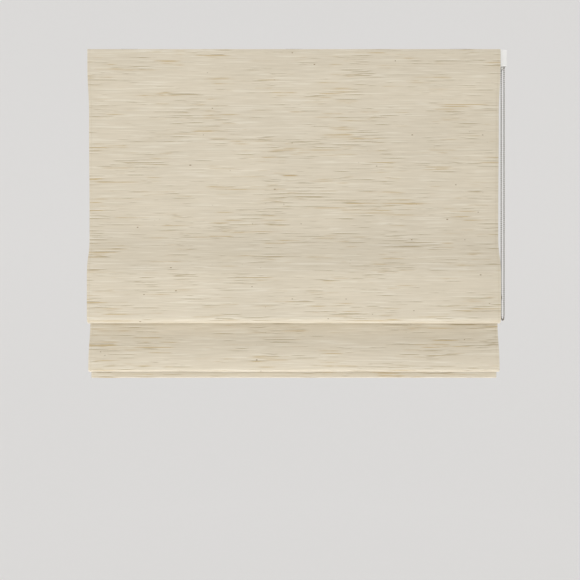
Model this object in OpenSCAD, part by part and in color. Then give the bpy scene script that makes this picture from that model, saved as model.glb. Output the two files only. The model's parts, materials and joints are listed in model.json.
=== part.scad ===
// Roman blind, partly raised: a folded face cloth on a chain-driven headrail.
// Millimetres. X runs along the rail to the right, Y to the back, Z up. Z = 0 is the ceiling.

/* [Blind] */
// Width of the face cloth
blind_w = 1200; // [700:10:1800]
// Gap between the ceiling and the top of the cloth
top_gap = 3; // [1:0.5:6]
// Cloth from its top edge to the first rod
first_rod = 185; // [150:1:320]
// Cloth between one rod and the next
rod_spacing = 332; // [280:1:420]
// Cloth from the last rod to the bottom edge
hem_drop = 175; // [155:1:240]

/* [Cloth] */
// Thickness of the face cloth
cloth_t = 0.8; // [0.5:0.1:1.2]
// Thickness of the lining
lining_t = 0.4; // [0.3:0.1:0.8]
// Air between two layers that lie on each other
layer_gap = 0.1; // [0.05:0.05:0.3]
// Width of the turned side hems
side_hem = 35; // [20:1:60]
// Height of the turned bottom hem
hem_turn = 34; // [30:1:60]

/* [Folds] */
// Cloth that hangs straight under the second rod
bulge_start = 30; // [5:1:60]
// Height over which the front fold comes forward
bulge_h = 110; // [60:1:140]
// How far the front fold comes forward
flap_reach = 31; // [20:0.5:45]
// Straight rise behind the front fold's round edge
fold_rise = 2; // [0.5:0.5:10]
// How far the second fold's edge stands in front of the flat cloth
second_reach = 14; // [6:0.5:20]
// Radius of the second fold's edge
second_r = 9; // [6:0.5:11]
// Radius of the cloth where it turns over a gathered rod
pinch_r = 1.5; // [1:0.1:2.5]
// Height from one gathered rod to the next
rod_step = 9; // [8.5:0.5:14]
// How far the hem swings back below the last rod
hem_sway = 4; // [0:0.5:8]

/* [Rods and bottom bar] */
// Diameter of the rods
rod_d = 4; // [3:0.5:5]
// Inner diameter of a rod pocket
pocket_d = 5.4; // [5:0.1:7]
// Length of a rod's end cap
rod_cap_l = 8; // [5:1:15]
// Thickness of the bottom bar
bar_t = 3; // [2:0.5:5]
// Height of the bottom bar
bar_h = 25; // [15:1:28]
// Length of a bottom bar end cap
bar_cap_l = 6; // [3:1:12]

/* [Headrail] */
// Depth of the rail, front to back
rail_depth = 44; // [42:1:60]
// Height of the space inside the rail
rail_inside_h = 33; // [33:1:45]
// Wall of the rail
rail_wall = 1.5; // [1.2:0.1:2.5]
// Width of the bracket slot on the rail's top
slot_w = 20; // [19:1:26]
// Width of the slot's mouth
slot_mouth = 12; // [11.5:0.5:14]
// Thickness of the slot's lips
slot_lip = 1.4; // [1:0.1:2]
// Height of the slot under its lips
slot_h = 3; // [3:0.1:5]
// Width of the rail's front and back bottom lips
rail_lip = 7; // [5:0.5:9]
// Height of the hook strip and the loop strip
strip_h = 20; // [12:1:25]
// Thickness of either strip
strip_t = 1; // [0.8:0.1:1.5]
// Depth of the rail's groove for the hook strip
strip_groove = 0.6; // [0.2:0.1:0.8]

/* [Drive] */
// Side of the square drive shaft
shaft_w = 6; // [5:0.5:7]
// Running clearance of turning parts
run_gap = 0.05; // [0.02:0.01:0.1]
// Pockets round the chain wheel
wheel_pockets = 16; // [12:2:16]
// Diameter of a chain bead
bead_d = 4.5; // [4:0.1:5]
// Distance from bead to bead
bead_pitch = 6; // [5.6:0.1:6.2]
// Diameter of the chain's links
link_d = 1; // [0.6:0.1:1.4]
// Beads down each side of the chain loop
strand_beads = 125; // [60:1:160]
// Thickness of the chain wheel
wheel_w = 8; // [7:0.5:10]
// Wall of the chain guard
guard_wall = 1.2; // [1:0.1:2]
// Thickness of the drive unit's flange
flange_t = 8; // [4:0.5:12]
// Wire of the wrap spring
spring_wire = 1.2; // [0.8:0.1:1.4]
// Length of the drive unit inside the rail
unit_l = 44; // [40:1:50]

/* [Lift cords] */
// Number of lift cords
cord_n = 4; // [2:1:5]
// Distance of the outer cords from the cloth's sides
cord_inset = 105; // [100:5:160]
// Diameter of a lift cord
cord_d = 1.4; // [1:0.1:1.8]
// Lean of the cords to the back, in mm per mm of drop
cord_lean = 0.0158; // [0.012:0.001:0.018]
// Radius of a drum
drum_r = 9.2; // [8.5:0.1:10]
// Length of a drum between its flanges
drum_l = 38; // [34:1:44]
// Turns of cord on a drum
cord_turns = 8; // [4:1:14]
// Distance from turn to turn
turn_pitch = 1.5; // [1.45:0.05:2]
// Outer diameter of a cord ring
ring_d = 15; // [14.5:0.5:18]
// Diameter of a ring's section
ring_section = 2; // [1.5:0.1:2.2]
// Diameter of a cord lock
lock_d = 8; // [6:0.5:8.5]
// Length of a cord lock
lock_l = 13; // [8:1:20]

/* [Brackets] */
// Number of ceiling brackets
bracket_n = 3; // [2:1:4]
// Distance of the outer brackets from the cloth's sides
bracket_inset = 120; // [60:5:200]
// Length of a bracket along the rail
bracket_l = 52; // [48:1:70]
// Width of a bracket across the rail
bracket_w = 34; // [28:1:40]
// Thickness of a bracket
bracket_t = 2; // [1.6:0.1:3]
// Distance between a bracket's two screw holes
screw_spacing = 38; // [32:1:44]
// Radius of a screw hole
screw_r = 2.3; // [2:0.1:2.6]
// Reach of the swivel lever from its rivet
lever_l = 30; // [28:1:40]
// Width of the swivel lever
lever_w = 8; // [6:0.5:9]
// Thickness of the swivel lever's handle
lever_t = 1.1; // [0.8:0.1:2]
// Radius of the lever's rivet
rivet_r = 2; // [1.5:0.1:2.5]

/* [Hidden] */
$fn = 48;
seat_gap = 0.1;      // flat pieces that lie on each other
clear_gap = 0.3;     // soft or sliding pieces that pass each other
arc_step = 12;       // turn of one straight facet on a folded sheet, in degrees
eps = 0.02;          // cuts run past a face by this much

// Heights of the bracket, its lever and the rail under it
lever_z = -bracket_t - 0.2;
rail_top = lever_z - lever_t - clear_gap;
slot_floor = rail_top - slot_lip - slot_h;
cam_z = slot_floor + 0.8;
stud_x = 12;         // studs under a bracket, along the rail from its rivet
stud_r = 1.8;
inside_top = slot_floor - rail_wall;
inside_bottom = inside_top - rail_inside_h;
rail_bottom = inside_bottom - rail_wall;
axis_z = (inside_top + inside_bottom) / 2;
strip_z = axis_z + 2;

// Stations along the rail
half_w = blind_w / 2;
rail_x0 = -half_w + 2;
rail_x1 = half_w - 2;
plate_corner = 4;    // round corners of the end plates and brackets
plug_corner = 2;     // round corners of the plugs in the rail ends
cap_t = 2.5;         // wall of the left end cap
cap_plug = 18;       // length of its plug
flange_x = rail_x1 + flange_t;
wheel_side = 0.8;    // chain wheel to its guard
wheel_x0 = flange_x + 3;
wheel_x1 = wheel_x0 + wheel_w;
chain_x = (wheel_x0 + wheel_x1) / 2;
guard_x1 = wheel_x1 + wheel_side + guard_wall;
unit_x0 = rail_x1 - unit_l;
strip_l = blind_w - 2 * (side_hem + 5);
bar_l = blind_w - 2 * (bar_cap_l + 4);
cord_pitch = (blind_w - 2 * cord_inset) / (cord_n - 1);
cord_x = [for (i = [0 : cord_n - 1]) (i - (cord_n - 1) / 2) * cord_pitch];
bracket_x = [for (i = [0 : bracket_n - 1])
    (i - (bracket_n - 1) / 2) * (blind_w - 2 * bracket_inset) / (bracket_n - 1)];

// Layers of cloth, counted from the front surface to the back
hem_back = 2 * cloth_t;
lining_front = cloth_t + layer_gap;
lining_back = lining_front + lining_t;
pocket_r = pocket_d / 2 + lining_t;
pocket_sink = 0.3;
pocket_out = lining_back - pocket_sink + pocket_r;

// Front surface of the cloth on the rail, in front of both strips and the lining
loop_y = -rail_depth / 2 + strip_groove - 2 * strip_t - seat_gap;
top_y = loop_y - seat_gap - lining_back;
rail_cover = -rail_bottom + 6;

// Lift cord: it leaves the drum at the back and leans away behind the cloth
cord_r = cord_d / 2;
wrap_r = drum_r + clear_gap + cord_r;
lean = atan(cord_lean);
leave_y = wrap_r * cos(lean);
leave_z = axis_z + wrap_r * sin(lean);
function cord_y(z) = leave_y + (leave_z - z) * tan(lean);

// A ring stands behind its rod pocket, and the cord runs through it off centre
ring_r = ring_d / 2;
ring_stand = pocket_r + 0.15 + ring_r;
ring_play = ring_r - ring_section - cord_r - clear_gap;
pinch_depth = 2 * (pinch_r + max(lining_back, hem_back)) + clear_gap;
gather_play = pinch_depth / 2;

rod1_z = -top_gap - first_rod;
rod2_z = rod1_z - rod_spacing;
flat_play = min(3.6, ring_play);
cloth1_y = cord_y(rod1_z) - flat_play - ring_stand - pocket_out;
cloth2_y = cord_y(rod2_z) - flat_play - ring_stand - pocket_out;

// Gathered rods: the third hangs just in front of the fourth
gather_z = rod2_z - bulge_start - bulge_h - 0.45 * rod_spacing;
pinch3_y = cord_y(gather_z) - gather_play - ring_stand;
pinch4_y = cord_y(gather_z) + gather_play - ring_stand;
flap_y = cloth2_y - flap_reach;
second_y = cloth2_y - second_reach;
hem_y = pinch4_y + pinch_r + hem_sway;

// A line that runs on by [length, turn] pieces: a straight, or an arc with its length and its turn in degrees
function arc_len(r, turn) = PI * r * abs(turn) / 180;
function sway(left, along) = left == 0 ? [[along, 0]]
    : let (turn = 2 * atan(left / along), l = along / 2 / sin(turn) * PI * turn / 180)
        [[l, turn], [l, -turn]];
function run(pieces, i = 0) = i == len(pieces) ? 0 : pieces[i][0] + run(pieces, i + 1);
function facets(piece) = piece[1] == 0 ? [piece]
    : let (n = max(2, ceil(abs(piece[1]) / arc_step)), part = piece[1] / n,
           chord = 2 * piece[0] / (PI * piece[1] / 180) * sin(part / 2))
        [for (i = [1 : n]) [chord, part]];
function move(at, piece) = let (heading = at[2] + piece[1] / 2)
    [at[0] + piece[0] * cos(heading), at[1] + piece[0] * sin(heading), at[2] + piece[1]];
function follow(at, pieces, i = 0) = i == len(pieces) ? [at]
    : concat([at], follow(move(at, pieces[i]), pieces, i + 1));
function line_of(at, pieces) = follow(at, [for (p = pieces) each facets(p)]);
function beside(at, d) = [at[0] - d * sin(at[2]), at[1] + d * cos(at[2])];
function outline(line, d0, d1) = concat(
    [for (at = line) beside(at, d0)],
    [for (i = [len(line) - 1 : -1 : 0]) beside(line[i], d1)]);

// The front fold hangs from the second rod and turns up to the third
flap_r = (pinch3_y - pinch_r - flap_y) / 2;
flap_in = sway(flap_y - cloth2_y, bulge_h);
pinch_run = arc_len(pinch_r, 180);
flap_run = rod_spacing - bulge_start - run(flap_in) - arc_len(flap_r, 180) - fold_rise - pinch_run / 2;
pinch3_z = rod2_z - bulge_start - bulge_h - flap_run + fold_rise;
pinch4_z = pinch3_z - rod_step;

// The second fold hangs from the third rod and turns up to the fourth
second_run = (rod_spacing - arc_len(second_r, 180) - pinch_run + rod_step) / 2;
second_back_y = second_y + 2 * second_r;
hem_r = hem_back + bar_t / 2 + seat_gap;
lock_room = lock_l + rod_step + 12;
hem_z = pinch4_z - hem_drop;

top_pieces = concat(
    [[rail_cover - top_gap, 0]],
    sway(cloth1_y - top_y, first_rod + top_gap - rail_cover),
    sway(cloth2_y - cloth1_y, rod_spacing));
fold_pieces = concat(
    [[bulge_start, 0]],
    flap_in,
    [[flap_run, 0], [arc_len(flap_r, 180), 180], [fold_rise, 0], [pinch_run, -180]],
    sway(second_y - pinch3_y - pinch_r, second_run),
    [[arc_len(second_r, 180), 180]],
    sway(second_back_y - pinch4_y + pinch_r, second_run - rod_step),
    [[pinch_run, -180]]);
hem_fall = hem_drop - hem_r - hem_turn - 1;
hem_pieces = concat([[lock_room, 0]], sway(hem_sway, hem_fall - lock_room));
cloth_end = [[hem_turn + 1, 0], [arc_len(hem_r, 180), 180], [hem_turn, 0]];
cloth_start = [top_y, -top_gap, -90];
lining_line = line_of(cloth_start, concat(top_pieces, fold_pieces, hem_pieces));
cloth_line = line_of(cloth_start, concat(top_pieces, fold_pieces, hem_pieces, cloth_end));

rods = [
    [cloth1_y + pocket_out, rod1_z],
    [cloth2_y + pocket_out, rod2_z],
    [pinch3_y, pinch3_z + pinch_r + pocket_out],
    [pinch4_y, pinch4_z + pinch_r + pocket_out]];
lining_w = blind_w - 2 * side_hem - 1;
rod_cap_end = 1;
rod_l = lining_w - 2 * (rod_cap_end + 0.5);
lock_top = rods[3][1] - ring_section / 2 - clear_gap;
lock_edge = 1.5;     // bevel of a cord lock

// Bead chain on its wheel, under a guard that is pegged to the drive unit's flange
wheel_r = wheel_pockets * bead_pitch / (2 * PI);
pocket_step = 360 / wheel_pockets;
bead_r = bead_d / 2;
link_r = link_d / 2;
bead_edge = acos(link_r / bead_r);
pocket_play = 0.15;
cheek_t = 1.4;
cheek_r = wheel_r + bead_r + 0.1;
chain_room = 1.5;
guard_r = cheek_r + chain_room;
peg_y = (guard_r + rail_depth / 2) / 2;
peg_r = min(1.1, (rail_depth / 2 - guard_r) * 0.38);
peg_l = 1.8;
strand_l = strand_beads * bead_pitch;
loop_z = axis_z - strand_l;
joint_bead = 8;      // the clip's place on the back strand, counted from the bottom

// Control unit: the wheel's sleeve turns in a round chamber, round a fixed core with the wrap spring
core_r = 7;
core_bore = 4;
chamber_wall = 3;
sleeve_in = core_r + spring_wire + 1.2;
sleeve_out = sleeve_in + 2.8;
chamber_r = sleeve_out + 1.2;
unit_bottom = axis_z - guard_r - 7;
unit_top = rail_top;
plug_y = rail_depth / 2 - rail_wall - clear_gap;
hub_square = core_bore * 2.2;
hub_grip = 4;        // the hub's square end in the wheel
hub_socket = 16;     // the hub's socket for the shaft, in the rail
hub_x0 = unit_x0 - hub_socket - 1;
shaft_x1 = unit_x0 - 5;

// Wrap spring: straight facets round the core, with both tails bent out into a window of the sleeve
spring_turns = 6;
spring_steps = 14;
spring_sides = 6;
spring_rise = spring_wire * 1.08;
spring_r = (core_r + seat_gap) / cos(180 / spring_steps) + spring_wire / 2;
spring_tail = 2 * spring_wire;
spring_x0 = unit_x0 + 13;
spring_x1 = spring_x0 + spring_turns * spring_rise;

// Spools: each cord leaves its drum just past the turns that lie on it
drum_flange = 1.6;
drum_flange_r = rail_inside_h / 2 - 3;
journal_r = shaft_w - 0.5;
post_t = 2.5;
post_w = 18;
foot_t = 1.6;
foot_l = 12;
foot_z = inside_bottom + seat_gap;
spool_half = drum_l / 2 + drum_flange + post_t + 1.4;
cord_at = -drum_l / 2 + (cord_turns + 0.5) * turn_pitch + clear_gap;
spool_x = [for (x = cord_x) x - cord_at];

// Shapes that several pieces share

module box(low, high) translate(low) cube(high - low);

module along_x(length) rotate([90, 0, 90]) linear_extrude(length, center = true) children();

module x_rod(r, x0, x1) translate([x0, 0, 0]) rotate([0, 90, 0]) cylinder(r = r, h = x1 - x0);

module x_bar(side, x0, x1) box([x0, -side / 2, -side / 2], [x1, side / 2, side / 2]);

// A bar along the rail with the rail's full length, y and z from low to high
module rail_bar(low, high, past = 0)
    box([rail_x0 - past, low[0], low[1]], [rail_x1 + past, high[0], high[1]]);

module x_revolve() rotate([0, 90, 0]) rotate_extrude() children();

module on_axis() translate([0, 0, axis_z]) children();

// A plate across the rail with round corners, from x0 to x1
module x_plate(x0, x1, y, z0, z1, r) {
    box([x0, -y, z0 + r], [x1, y, z1 - r]);
    box([x0, -y + r, z0], [x1, y - r, z1]);
    for (cy = [-y + r, y - r], cz = [z0 + r, z1 - r]) translate([0, cy, cz]) x_rod(r, x0, x1);
}

// Cloth, lining and what hangs in them

module sheet(line, d0, d1, width) along_x(width) polygon(outline(line, d0, d1));

module face_cloth() color("#d6cab4") difference() {
    sheet(cloth_line, 0, hem_back, blind_w);
    sheet(concat([move(cloth_line[0], [-1, 0])], cloth_line, [move(cloth_line[len(cloth_line) - 1], [1, 0])]),
        cloth_t, hem_back + clear_gap, blind_w - 2 * side_hem);
}

module lining() color("#efeae0") difference() {
    union() {
        sheet(lining_line, lining_front, lining_back, lining_w);
        for (at = rods) translate([0, at[0], at[1]]) x_rod(pocket_r, -lining_w / 2, lining_w / 2);
    }
    for (at = rods) translate([0, at[0], at[1]]) x_rod(pocket_d / 2, -half_w, half_w);
}

module rod(i) color("#e6e1d4") translate([0, rods[i][0], rods[i][1]])
    x_rod(rod_d / 2, -rod_l / 2, rod_l / 2);

module rod_caps() color("white") for (at = rods, side = [0, 1]) mirror([side, 0, 0])
    translate([rod_l / 2 + rod_cap_end, at[0], at[1]]) difference() {
        x_rod(pocket_d / 2 - seat_gap, -rod_cap_l, 0);
        x_rod(rod_d / 2 + run_gap, -rod_cap_l - 1, -rod_cap_end);
    }

module bar_section(t, h) {
    translate([0, h / 2]) square([t, h - t], center = true);
    for (y = [t / 2, h - t / 2]) translate([0, y]) circle(d = t);
}

module in_hem(x) translate([x, hem_y + hem_r, hem_z + hem_r - bar_t / 2]) children();

module bottom_bar() color("#c9c9c7") in_hem(0) along_x(bar_l) bar_section(bar_t, bar_h);

module bar_caps() color("white") for (side = [-1, 1])
    in_hem(side * (bar_l + bar_cap_l + seat_gap) / 2) along_x(bar_cap_l) bar_section(bar_t, bar_h);

module strip(y)
    box([-strip_l / 2, y, strip_z - strip_h / 2], [strip_l / 2, y + strip_t, strip_z + strip_h / 2]);

module loop_strip() color("white") strip(loop_y);

module hook_strip() color("#e8e8e4") strip(-rail_depth / 2 + strip_groove - strip_t);

// Headrail, its left end cap and the ceiling brackets

module headrail() color("white") {
    y = rail_depth / 2;
    slot = slot_w / 2;
    difference() {
        union() {
            rail_bar([-y, rail_bottom], [y, slot_floor]);
            rail_bar([-slot - slot_lip, slot_floor - eps], [slot + slot_lip, rail_top]);
        }
        rail_bar([-y + rail_wall, inside_bottom], [y - rail_wall, inside_top], 1);
        rail_bar([-y + rail_lip, rail_bottom - 1], [y - rail_lip, axis_z], 1);
        rail_bar([-slot, slot_floor], [slot, rail_top - slot_lip], 1);
        rail_bar([-slot_mouth / 2, slot_floor], [slot_mouth / 2, rail_top + 1], 1);
        rail_bar([-y - 1, strip_z - strip_h / 2 - clear_gap],
            [-y + strip_groove, strip_z + strip_h / 2 + clear_gap], 1);
    }
}

// The plug that a rail end takes, from x0 to x1
module rail_plug(x0, x1)
    x_plate(x0, x1, plug_y, inside_bottom + clear_gap, inside_top - clear_gap, plug_corner);

// The cap's plug is hollow round a bearing for the shaft
module end_cap() color("white") difference() {
    union() {
        x_plate(rail_x0 - cap_t, rail_x0, rail_depth / 2, rail_bottom, rail_top, plate_corner);
        rail_plug(rail_x0 - eps, rail_x0 + cap_plug);
    }
    on_axis() x_rod(shaft_w * sqrt(2) / 2 + run_gap, rail_x0 + cap_t, rail_x0 + cap_plug + 1);
    on_axis() difference() {
        x_rod(rail_inside_h / 2 - cap_t, rail_x0 + cap_t, rail_x0 + cap_plug + 1);
        x_rod(shaft_w + 1, rail_x0, rail_x0 + cap_plug + 2);
    }
}

// Three studs keep the plate level on the rail and leave the lever's quarter open
module bracket(i) color("#c4c6c8") translate([bracket_x[i], 0, 0]) difference() {
    union() {
        rotate([0, -90, 0])
            x_plate(-bracket_t, 0, bracket_w / 2, -bracket_l / 2, bracket_l / 2, plate_corner);
        for (at = [[-1, -1], [-1, 1], [1, -1]])
            translate([at[0] * stud_x, at[1] * (slot_w + slot_mouth) / 4, rail_top + seat_gap])
                cylinder(r = stud_r, h = -bracket_t - rail_top);
    }
    for (side = [-1, 1]) translate([side * screw_spacing / 2, 0, -bracket_t]) {
        translate([0, 0, -1]) cylinder(r = screw_r, h = bracket_t + 2);
        translate([0, 0, -eps]) cylinder(r1 = screw_r * 2, r2 = screw_r, h = bracket_t * 0.6);
    }
    translate([0, 0, -bracket_t - 1]) cylinder(r = rivet_r, h = bracket_t + 2);
    translate([0, 0, -bracket_t / 2])
        cylinder(r1 = rivet_r, r2 = rivet_r + bracket_t / 2 + eps, h = bracket_t / 2 + eps);
}

// A handle under the plate, and a cam across the rail's slot that holds its lips
module bracket_lever(i) color("#3f4245") translate([bracket_x[i], 0, 0]) difference() {
    union() {
        translate([0, 0, lever_z - lever_t]) {
            cylinder(r = slot_mouth / 2 - 0.5, h = lever_t);
            box([0, -lever_w / 2, 0], [lever_l - lever_w / 2, lever_w / 2, lever_t]);
            translate([lever_l - lever_w / 2, 0, 0]) cylinder(r = lever_w / 2, h = lever_t);
        }
        translate([0, 0, cam_z]) cylinder(r = slot_mouth / 2 - 1, h = lever_z - lever_t / 2 - cam_z);
        translate([0, 0, cam_z]) intersection() {
            cylinder(r = slot_w / 2 - 2 * clear_gap, h = slot_h - 1);
            box([-slot_mouth / 2 + 0.5, -slot_w, 0], [slot_mouth / 2 - 0.5, slot_w, slot_h]);
        }
    }
    translate([0, 0, slot_floor]) cylinder(r = rivet_r + run_gap, h = -slot_floor);
}

module lever_rivets() color("#9a9c9e") for (x = bracket_x) translate([x, 0, 0]) rotate_extrude()
    polygon([[0, 0], [rivet_r + bracket_t / 2, 0], [rivet_r, -bracket_t / 2], [rivet_r, cam_z - seat_gap],
        [rivet_r + 1.5, cam_z - seat_gap], [rivet_r + 1.5, slot_floor + seat_gap],
        [0, slot_floor + seat_gap]]);

// Chain drive at the right end

module guard_pegs(r, x0, x1) for (side = [-1, 1], z = [unit_top - 9, unit_bottom + 6])
    translate([0, side * peg_y, z]) x_rod(r, x0, x1);

module drive_housing() color("white") difference() {
    union() {
        difference() {
            union() {
                x_plate(rail_x1, flange_x, rail_depth / 2, unit_bottom, unit_top, plate_corner);
                rail_plug(unit_x0, rail_x1 + eps);
            }
            on_axis() x_rod(chamber_r, unit_x0 + chamber_wall, flange_x + 1);
        }
        on_axis() x_rod(core_r, unit_x0 + 1, flange_x - 1);
    }
    on_axis() x_rod(core_bore + run_gap, unit_x0 - 1, flange_x + 1);
    guard_pegs(peg_r + run_gap, flange_x - peg_l - seat_gap, flange_x + 1);
}

// Open at the bottom for both strands, with a tongue between them
module chain_guard() color("white") {
    guard_in = guard_x1 - guard_wall;
    strand_in = wheel_r - bead_r - chain_room;
    difference() {
        x_plate(flange_x + seat_gap, guard_x1, rail_depth / 2, unit_bottom, unit_top, plate_corner);
        on_axis() x_rod(guard_r, flange_x, guard_in);
        box([flange_x, -guard_r, unit_bottom - 1], [guard_in, guard_r, axis_z]);
    }
    box([wheel_x0, -strand_in, unit_bottom], [guard_in + eps, strand_in, axis_z - cheek_r - chain_room]);
    guard_pegs(peg_r, flange_x - peg_l, flange_x + 0.5);
}

// Beads sit in round pockets between two cheeks, and their links run in a groove
module chain_wheel() color("#f2f2ef") on_axis() difference() {
    union() {
        x_rod(wheel_r - pocket_play, wheel_x0, wheel_x1);
        for (x = [wheel_x0, wheel_x1 - cheek_t]) x_rod(cheek_r, x, x + cheek_t);
        x_rod(sleeve_out, spring_x0 - 5, wheel_x0 + eps);
    }
    x_rod(sleeve_in, spring_x0 - 6, flange_x + 0.5);
    x_rod(core_bore + seat_gap, flange_x, wheel_x1 + 1);
    x_bar(hub_square + 2 * seat_gap, wheel_x1 - hub_grip, wheel_x1 + 1);
    for (i = [1 : wheel_pockets]) rotate([i * pocket_step, 0, 0])
        translate([chain_x, wheel_r, 0]) sphere(r = bead_r + pocket_play);
    translate([chain_x, 0, 0]) difference() {
        x_rod(wheel_r, -link_r - clear_gap, link_r + clear_gap);
        x_rod(wheel_r * cos(pocket_step / 2) - link_r - clear_gap, -link_d, link_d);
    }
    box([spring_x0 - chain_room, 0, -core_r / 2], [spring_x1 + chain_room, sleeve_out + 1, core_r / 2]);
}

// Square in the wheel, round in the core, with a square socket for the shaft
module drive_hub() color("#55585a") on_axis() difference() {
    union() {
        x_bar(hub_square, wheel_x1 - hub_grip + seat_gap, wheel_x1 - seat_gap);
        x_rod(core_bore, unit_x0 - 2, wheel_x1 - hub_grip + 1);
        x_rod(core_r, hub_x0, unit_x0 - 1);
    }
    x_bar(shaft_w + 2 * run_gap, hub_x0 - 1, shaft_x1);
}

module brake_spring() color("#8d8f91") {
    n = spring_turns * spring_steps;
    wire = spring_wire / 2;
    points = [for (i = [0 : n], k = [0 : spring_sides - 1])
        let (turn = i / spring_steps * 360, a = k * 360 / spring_sides,
            r = spring_r + wire * cos(a) + (i == 0 || i == n ? spring_tail : 0))
        [spring_x0 + i / spring_steps * spring_rise + wire * sin(a), r * cos(turn), r * sin(turn)]];
    sides = [for (i = [0 : n - 1], k = [0 : spring_sides - 1])
        let (a = i * spring_sides + k, b = i * spring_sides + (k + 1) % spring_sides)
        each [[a, b, a + spring_sides], [b, b + spring_sides, a + spring_sides]]];
    ends = [
        [for (k = [spring_sides - 1 : -1 : 0]) k],
        [for (k = [0 : spring_sides - 1]) n * spring_sides + k]];
    on_axis() polyhedron(points, concat(sides, ends));
}

module drive_shaft() color("#b9bbbd") on_axis() x_bar(shaft_w, rail_x0 + cap_t + seat_gap, shaft_x1 - 0.5);

// Cord spools in the rail

// Two posts carry the drum, and hooked feet grip the rail's bottom lips
module spool_cradle(i) color("#d9dadb") translate([spool_x[i], 0, 0]) difference() {
    union() {
        box([-spool_half, -plug_y, foot_z], [spool_half, plug_y, foot_z + foot_t]);
        for (x = [-spool_half, spool_half - post_t]) {
            box([x, -post_w / 2, foot_z], [x + post_t, post_w / 2, axis_z]);
            on_axis() x_rod(post_w / 2, x, x + post_t);
        }
        for (side = [0, 1]) mirror([0, side, 0]) snap_foot();
    }
    on_axis() x_rod(journal_r + run_gap, -spool_half - 1, spool_half + 1);
    translate([cord_at, cord_y(foot_z), foot_z - 1]) cylinder(r = cord_r + 1, h = foot_t + 2);
}

module snap_foot() {
    y = rail_depth / 2 - rail_lip - clear_gap;
    hook_z = rail_bottom - clear_gap - foot_t / 2;
    box([-foot_l / 2, y - foot_t, hook_z], [foot_l / 2, y, foot_z + eps]);
    box([-foot_l / 2, y - foot_t, hook_z], [foot_l / 2, y + foot_t, rail_bottom - clear_gap]);
}

module cord_drum(i) color("#e9e9e6") translate([spool_x[i], 0, 0]) on_axis() difference() {
    union() {
        x_rod(drum_r, -drum_l / 2, drum_l / 2);
        for (x = [-drum_l / 2 - drum_flange, drum_l / 2]) x_rod(drum_flange_r, x, x + drum_flange);
        x_rod(journal_r, -spool_half, spool_half);
    }
    x_bar(shaft_w + 2 * run_gap, -spool_half - 1, spool_half + 1);
}

module cord_turns(i) color("#fbfaf6") translate([spool_x[i], 0, 0]) on_axis() {
    first = drum_l / 2 - seat_gap;
    last = first - cord_turns * turn_pitch;
    x_revolve() polygon(concat(
        [[drum_r + run_gap, first]],
        [for (k = [0 : cord_turns - 1]) let (c = first - (k + 0.5) * turn_pitch) each
            [[drum_r + cord_r, c + turn_pitch / 2], [drum_r + cord_d, c + cord_r / 2],
             [drum_r + cord_d, c - cord_r / 2]]],
        [[drum_r + cord_r, last], [drum_r + run_gap, last]]));
}

// A lift cord comes off its drum and runs straight down through its rings into its lock
module lift_cord(i) color("#fbfaf6") translate([cord_x[i], 0, 0]) {
    drop = (leave_z - lock_top + lock_l * 0.7) / cos(lean);
    translate([0, leave_y, leave_z]) rotate([lean, 0, 0]) translate([0, 0, -drop])
        cylinder(r = cord_r, h = drop);
    on_axis() rotate([lean, 0, 0]) rotate([90, 0, 90]) rotate_extrude(angle = 200)
        translate([wrap_r, 0]) circle(r = cord_r);
}

module cord_rings() color("#f4f4f2") for (x = cord_x, at = rods)
    translate([x, at[0] + ring_stand, at[1]]) rotate_extrude()
        translate([ring_r - ring_section / 2, 0]) circle(d = ring_section);

module cord_locks() color("#f4f4f2") for (x = cord_x)
    translate([x, cord_y(lock_top - lock_l / 2), lock_top - lock_l]) rotate_extrude()
        polygon([[cord_r + clear_gap, 0], [lock_d / 2 - lock_edge, 0], [lock_d / 2, lock_edge],
            [lock_d / 2, lock_l - lock_edge], [lock_d / 2 - lock_edge, lock_l],
            [cord_r + clear_gap, lock_l]]);

// Bead chain: two straight strands and the round stretches over the wheel and at the bottom

module strand() {
    first = bead_pitch / 2;
    rotate_extrude() polygon(concat(
        [[0, -first], [link_r, -first]],
        [for (i = [1 : strand_beads - 1], a = [bead_edge, bead_edge / 2, 0, -bead_edge / 2, -bead_edge])
            [bead_r * cos(a), -i * bead_pitch + bead_r * sin(a)]],
        [[link_r, first - strand_l], [0, first - strand_l]]));
}

module bead_arc(from) for (i = [0 : wheel_pockets / 2]) rotate([from + i * pocket_step, 0, 0])
    translate([0, wheel_r, 0]) {
        sphere(r = bead_r);
        if (i < wheel_pockets / 2) rotate([pocket_step / 2, 0, 0])
            cylinder(r = link_r, h = bead_pitch * 0.99);
    }

module bead_chain() color("#b8b6b2") translate([chain_x, 0, 0]) {
    for (side = [-1, 1]) translate([0, side * wheel_r, axis_z]) {
        strand();
        for (z = [0, bead_pitch / 2 - strand_l]) translate([0, 0, z - bead_pitch / 2])
            cylinder(r = link_r, h = bead_pitch / 2);
    }
    on_axis() bead_arc(0);
    translate([0, 0, loop_z]) bead_arc(180);
}

// Clip that closes the chain into a loop, round two beads of the back strand
module chain_joint() color("#a9a7a3")
    translate([chain_x, wheel_r, loop_z + (joint_bead + 0.5) * bead_pitch]) difference() {
        cylinder(r = bead_r + 0.7, h = bead_pitch + bead_d + 0.6, center = true);
        cylinder(r = bead_r + seat_gap, h = bead_pitch + bead_d + 2, center = true);
    }

headrail();
end_cap();
drive_housing();
chain_guard();
chain_wheel();
drive_hub();
brake_spring();
drive_shaft();
hook_strip();
loop_strip();
face_cloth();
lining();
rod_caps();
bottom_bar();
bar_caps();
cord_rings();
cord_locks();
bead_chain();
chain_joint();
lever_rivets();
for (i = [0 : cord_n - 1]) {
    spool_cradle(i);
    cord_drum(i);
    cord_turns(i);
    lift_cord(i);
}
for (i = [0 : len(rods) - 1]) rod(i);
for (i = [0 : bracket_n - 1]) {
    bracket(i);
    bracket_lever(i);
}
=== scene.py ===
"""Roman blind, partly raised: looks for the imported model, in metres in its own frame."""
import json
import math

import bmesh
import bpy
import numpy as np
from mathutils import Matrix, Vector, noise


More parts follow.
